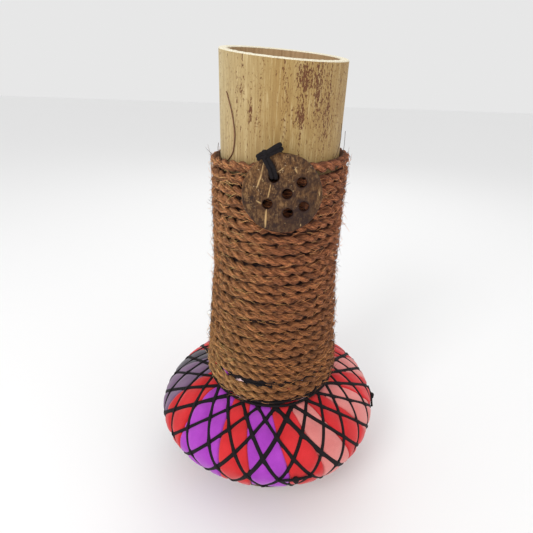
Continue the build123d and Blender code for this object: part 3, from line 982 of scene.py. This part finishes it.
def disc_mesh():
    """A disc with six round holes and soft edges, as one remeshed solid."""
    curve = bpy.data.curves.new("disc_outline", "CURVE")
    curve.dimensions = "2D"
    curve.fill_mode = "BOTH"
    thick = (DISC_HIGH[1] - DISC_LOW[1] - DISC_CROWN) * MM
    soft = 0.45 * MM
    curve.extrude = thick / 2 - soft
    curve.bevel_depth = soft
    curve.offset = -soft
    curve.bevel_resolution = 3
    circles = [(0.0, 0.0, DISC_R)] + [(x, z, HOLE_R) for x, z in DISC_HOLES]
    for x, z, radius in circles:
        spline = curve.splines.new("POLY")
        count = 160 if radius > 5 else 48
        spline.points.add(count - 1)
        for index, point in enumerate(spline.points):
            turn = 2 * math.pi * index / count
            point.co = ((x + radius * math.cos(turn)) * MM, (z + radius * math.sin(turn)) * MM, 0, 1)
        spline.use_cyclic_u = True
    holder = bpy.data.objects.new("disc_holder", curve)
    bpy.context.scene.collection.objects.link(holder)
    graph = bpy.context.evaluated_depsgraph_get()
    mesh = bpy.data.meshes.new_from_object(holder.evaluated_get(graph))
    bpy.data.objects.remove(holder)
    solid = bpy.data.objects.new("disc_solid", mesh)
    bpy.context.scene.collection.objects.link(solid)
    remesh = solid.modifiers.new("remesh", "REMESH")
    remesh.mode = "VOXEL"
    remesh.voxel_size = 0.32 * MM
    graph = bpy.context.evaluated_depsgraph_get()
    graph.update()
    dense = bpy.data.meshes.new_from_object(solid.evaluated_get(graph))
    bpy.data.objects.remove(solid)
    points = np.array([v.co for v in dense.vertices]) / MM
    faces = [list(p.vertices) for p in dense.polygons]
    bpy.data.meshes.remove(dense)
    return points, faces


def segment_distance(flat, start, end):
    start, end = np.array(start), np.array(end)
    along = np.clip((flat - start) @ (end - start) / ((end - start) @ (end - start)), 0, 1)
    return np.linalg.norm(flat - start - along[:, None] * (end - start), axis=1)


def build_disc():
    flat, faces = disc_mesh()
    plane = flat[:, :2]
    reach = np.linalg.norm(plane, axis=1)
    crown = DISC_CROWN * (1 - (reach / DISC_R) ** 2)
    chip = 0.10 * wave_noise(np.arctan2(plane[:, 1], plane[:, 0]), 7, 400)
    scale = 1 + chip * (reach / DISC_R) ** 4 / DISC_R
    middle_y = (DISC_LOW[1] + DISC_HIGH[1] + DISC_CROWN) / 2
    points = np.stack([
        DISC_MIDDLE[0] + plane[:, 0] * scale,
        middle_y - flat[:, 2] - crown,
        DISC_MIDDLE[2] + plane[:, 1] * scale,
    ], axis=1)
    pale = np.zeros(len(points))
    for start, end, half_width in STREAKS:
        middle, reach_along = (np.array(start) + end) / 2, math.dist(start, end) / 2
        gap = segment_distance(plane + 0.25 * wave_noise(plane, 1.3, 401), start, end)
        taper = 1 - 0.75 * np.clip(np.linalg.norm(plane - middle, axis=1) / reach_along, 0, 1) ** 2
        pale = np.maximum(pale, np.clip(1.3 - gap / (half_width * taper), 0, 1) * 0.8)
    # painted shade: the hole walls and the lower and right sides of the disc are darkened; the disc is also
    # darker in a rim round each hole
    rim_and_painted_shade = np.zeros(len(points))
    for x, z in DISC_HOLES:
        gap = np.linalg.norm(plane - np.array([x, z]), axis=1) - HOLE_R
        rim_and_painted_shade = np.maximum(rim_and_painted_shade, 0.75 * np.exp(-np.clip(gap, 0, None) / 1.9))
        rim_and_painted_shade[gap < 0.25] = 1.0
    lower_side_shade = 0.55 * np.clip((-plane[:, 1] - 5) / 10, 0, 1)
    right_side_shade = 0.35 * np.clip(plane[:, 0] / 15, 0, 1)
    rim_and_painted_shade = np.clip(rim_and_painted_shade + lower_side_shade + right_side_shade, 0, 1)
    rim_and_painted_shade = rim_and_painted_shade * (1 - pale)
    colour = np.stack([pale, rim_and_painted_shade, np.zeros(len(points))], axis=1)
    make_piece("shell_disc_carved", points, faces, SHELL, "disc", ["shell_disc"],
               colour=colour)


def build_tie():
    face_y = DISC_LOW[1] - 0.9
    hole_x, hole_z = DISC_MIDDLE[0] + DISC_HOLES[0][0], DISC_MIDDLE[2] + DISC_HOLES[0][1]
    knot = np.array([DISC_MIDDLE[0] - 9.05, face_y + 0.2, DISC_MIDDLE[2] + 18.4])
    parts = []
    for side in (-1, 1):
        across = side * 0.95
        path = smooth_path([
            (hole_x + across, face_y + 4.2, hole_z - 0.4),
            (hole_x + across, face_y + 0.6, hole_z),
            (hole_x - 1.2 + across, face_y - 0.2, hole_z + 4.2),
            (knot[0] + 1.5 + across, face_y, knot[2] - 2.4),
            (knot[0] + 0.3 + across * 0.7, face_y + 0.4, knot[2]),
        ], 40)
        parts.append(tube(path, (0, -1, 0), 1.0, 0.95, sides=12))
    strands = make_cord("tie_strands_cord", parts, None, "tie_strands")
    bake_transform(strands)

    parts = knot_parts(knot + np.array([0, 0.2, 0.2]), 2.4, (0, -1, 0), 310)
    make_cord("tie_knot_cord", parts, "hanger", "tie_knot")

    ends = (
        ("tie_end_long_cord", "tie_end_long", (1.2, 0, 0.4), (8.0, 1.4, 4.0), 0.9, 1.15),
        ("tie_end_short_cord", "tie_end_short", (-0.8, 0, 0), (-2.9, 0.2, -1.4), 0.6, 0.95),
    )
    for name, node, near, far, spread, thick in ends:
        parts = []
        for side in (-1, 1):
            off = np.array([0.35 * side * spread, 0.2 * side, -0.95 * side * spread])
            start, tip = knot + np.array(near) + off * 0.6, knot + np.array(far) + off * 1.15
            bow = (start + tip) / 2 + np.array([0, -0.5, 0.3])
            path = smooth_path([start, bow, tip], 24)
            parts.append(tube(path, (0, -1, 0), thick * round_ends(24, 0.05, 0.75), thick * 0.95, sides=12))
        make_cord(name, parts, "hanger", node)

    anchor_low, anchor_high = node_box("tie_anchor")
    path = smooth_path([
        (anchor_high[0] - 0.9, anchor_high[1] - 0.9, anchor_low[2] + 0.3),
        (anchor_high[0] - 1.6, anchor_high[1] - 1.2, anchor_high[2] - 2.2),
        (knot[0] + 3.6, knot[1] + 3.6, anchor_high[2] - 0.5),
        (knot[0] + 0.8, knot[1] + 1.2, knot[2] + 0.6),
    ], 36)
    make_cord("tie_anchor_cord", [tube(path, (0, 0, 1), 0.85, 0.85, sides=10)], "hanger", "tie_anchor")


def build_stray_fibres():
    """A few long single fibres that lie on the culm or stand off it."""
    def on_culm(places, lift):
        return [on_circle(a, CULM_R + lift, z) for a, z in places]

    strays = (
        (on_culm(((-55, 249), (-47, 240), (-43, 230), (-46, 221), (-56, 216)), 0.45), 0.30, srgb(120, 76, 50)),
        (on_culm(((62, 236), (66, 228), (58, 221), (50, 217)), 1.2), 0.13, srgb(60, 40, 30)),
        (on_culm(((70, 232), (74, 224), (66, 218)), 2.4), 0.12, srgb(70, 60, 54)),
        (on_culm(((-72, 224), (-78, 220), (-70, 217)), 1.6), 0.14, srgb(90, 56, 38)),
    )
    parts, shades = [], []
    for places, thick, colour in strays:
        path = smooth_path(places, 40)
        parts.append(tube(path, outward(path), thick * round_ends(40, 0.3, 0.3), thick, sides=6))
        shades.append(np.tile(colour, (len(parts[-1][0]), 1)))
    points, faces, grain = joined(parts)
    make_piece("stray_fibres", points, faces, HAIR, "vase", grain=grain, colour=np.concatenate(shades))


# ---- stage ---------------------------------------------------------------
def build_stage():
    mesh = bpy.data.meshes.new("floor")
    size = 4.0
    corners = [(-size, -size, 0), (size, -size, 0), (size, size, 0), (-size, size, 0)]
    mesh.from_pydata(corners, [], [(0, 1, 2, 3)])
    floor = bpy.data.objects.new("floor", mesh)
    bpy.context.scene.collection.objects.link(floor)
    kit = Nodes("floor_paper", roughness=0.9)
    mesh.materials.append(kit.finish((0.94, 0.94, 0.94)))

    world = bpy.data.worlds.new("studio")
    bpy.context.scene.world = world
    world.use_nodes = True
    world.node_tree.nodes["Background"].inputs[0].default_value = (1, 1, 1, 1)
    world.node_tree.nodes["Background"].inputs[1].default_value = 0.8

    lights = (
        ("key", (-0.5, -0.65, 0.75), 0.35, 3.6),
        ("fill", (0.75, -0.45, 0.5), 0.7, 0.9),
        ("back", (0.1, 0.7, 0.7), 0.6, 1.0),
    )
    for name, place, size, power in lights:
        lamp = bpy.data.lights.new(name, "AREA")
        lamp.size = size
        lamp.energy = power
        holder = bpy.data.objects.new(name, lamp)
        holder.location = place
        holder.rotation_euler = (Vector((0, 0, 0.13)) - Vector(place)).to_track_quat("-Z", "Y").to_euler()
        bpy.context.scene.collection.objects.link(holder)


def build_camera():
    """Nearer to the vase than its height, a little below its mouth, looking down."""
    data = bpy.data.cameras.new("camera")
    data.sensor_width = 36.0
    data.lens = 26.3415
    data.clip_start = 0.01
    camera = bpy.data.objects.new("camera", data)
    bpy.context.scene.collection.objects.link(camera)
    pitch = Matrix.Rotation(math.radians(90 - 26.0), 4, "X")
    roll = Matrix.Rotation(math.radians(1.9), 4, "Z")
    camera.matrix_world = Matrix.Translation((-0.0052, -0.222, 0.256)) @ pitch @ roll
    bpy.context.scene.camera = camera


def main():
    bpy.context.scene.view_settings.view_transform = "Standard"
    build_camera()
    build_culm()
    path, out, across, tangent = build_rope()
    build_fuzz(path, out, across, tangent)
    build_rope_gap_shade()
    build_gathered_cloth()
    build_cushion()
    build_net()
    build_ring_cords()
    build_net_knots()
    build_foot()
    build_disc()
    build_tie()
    build_stray_fibres()
    build_stage()


main()
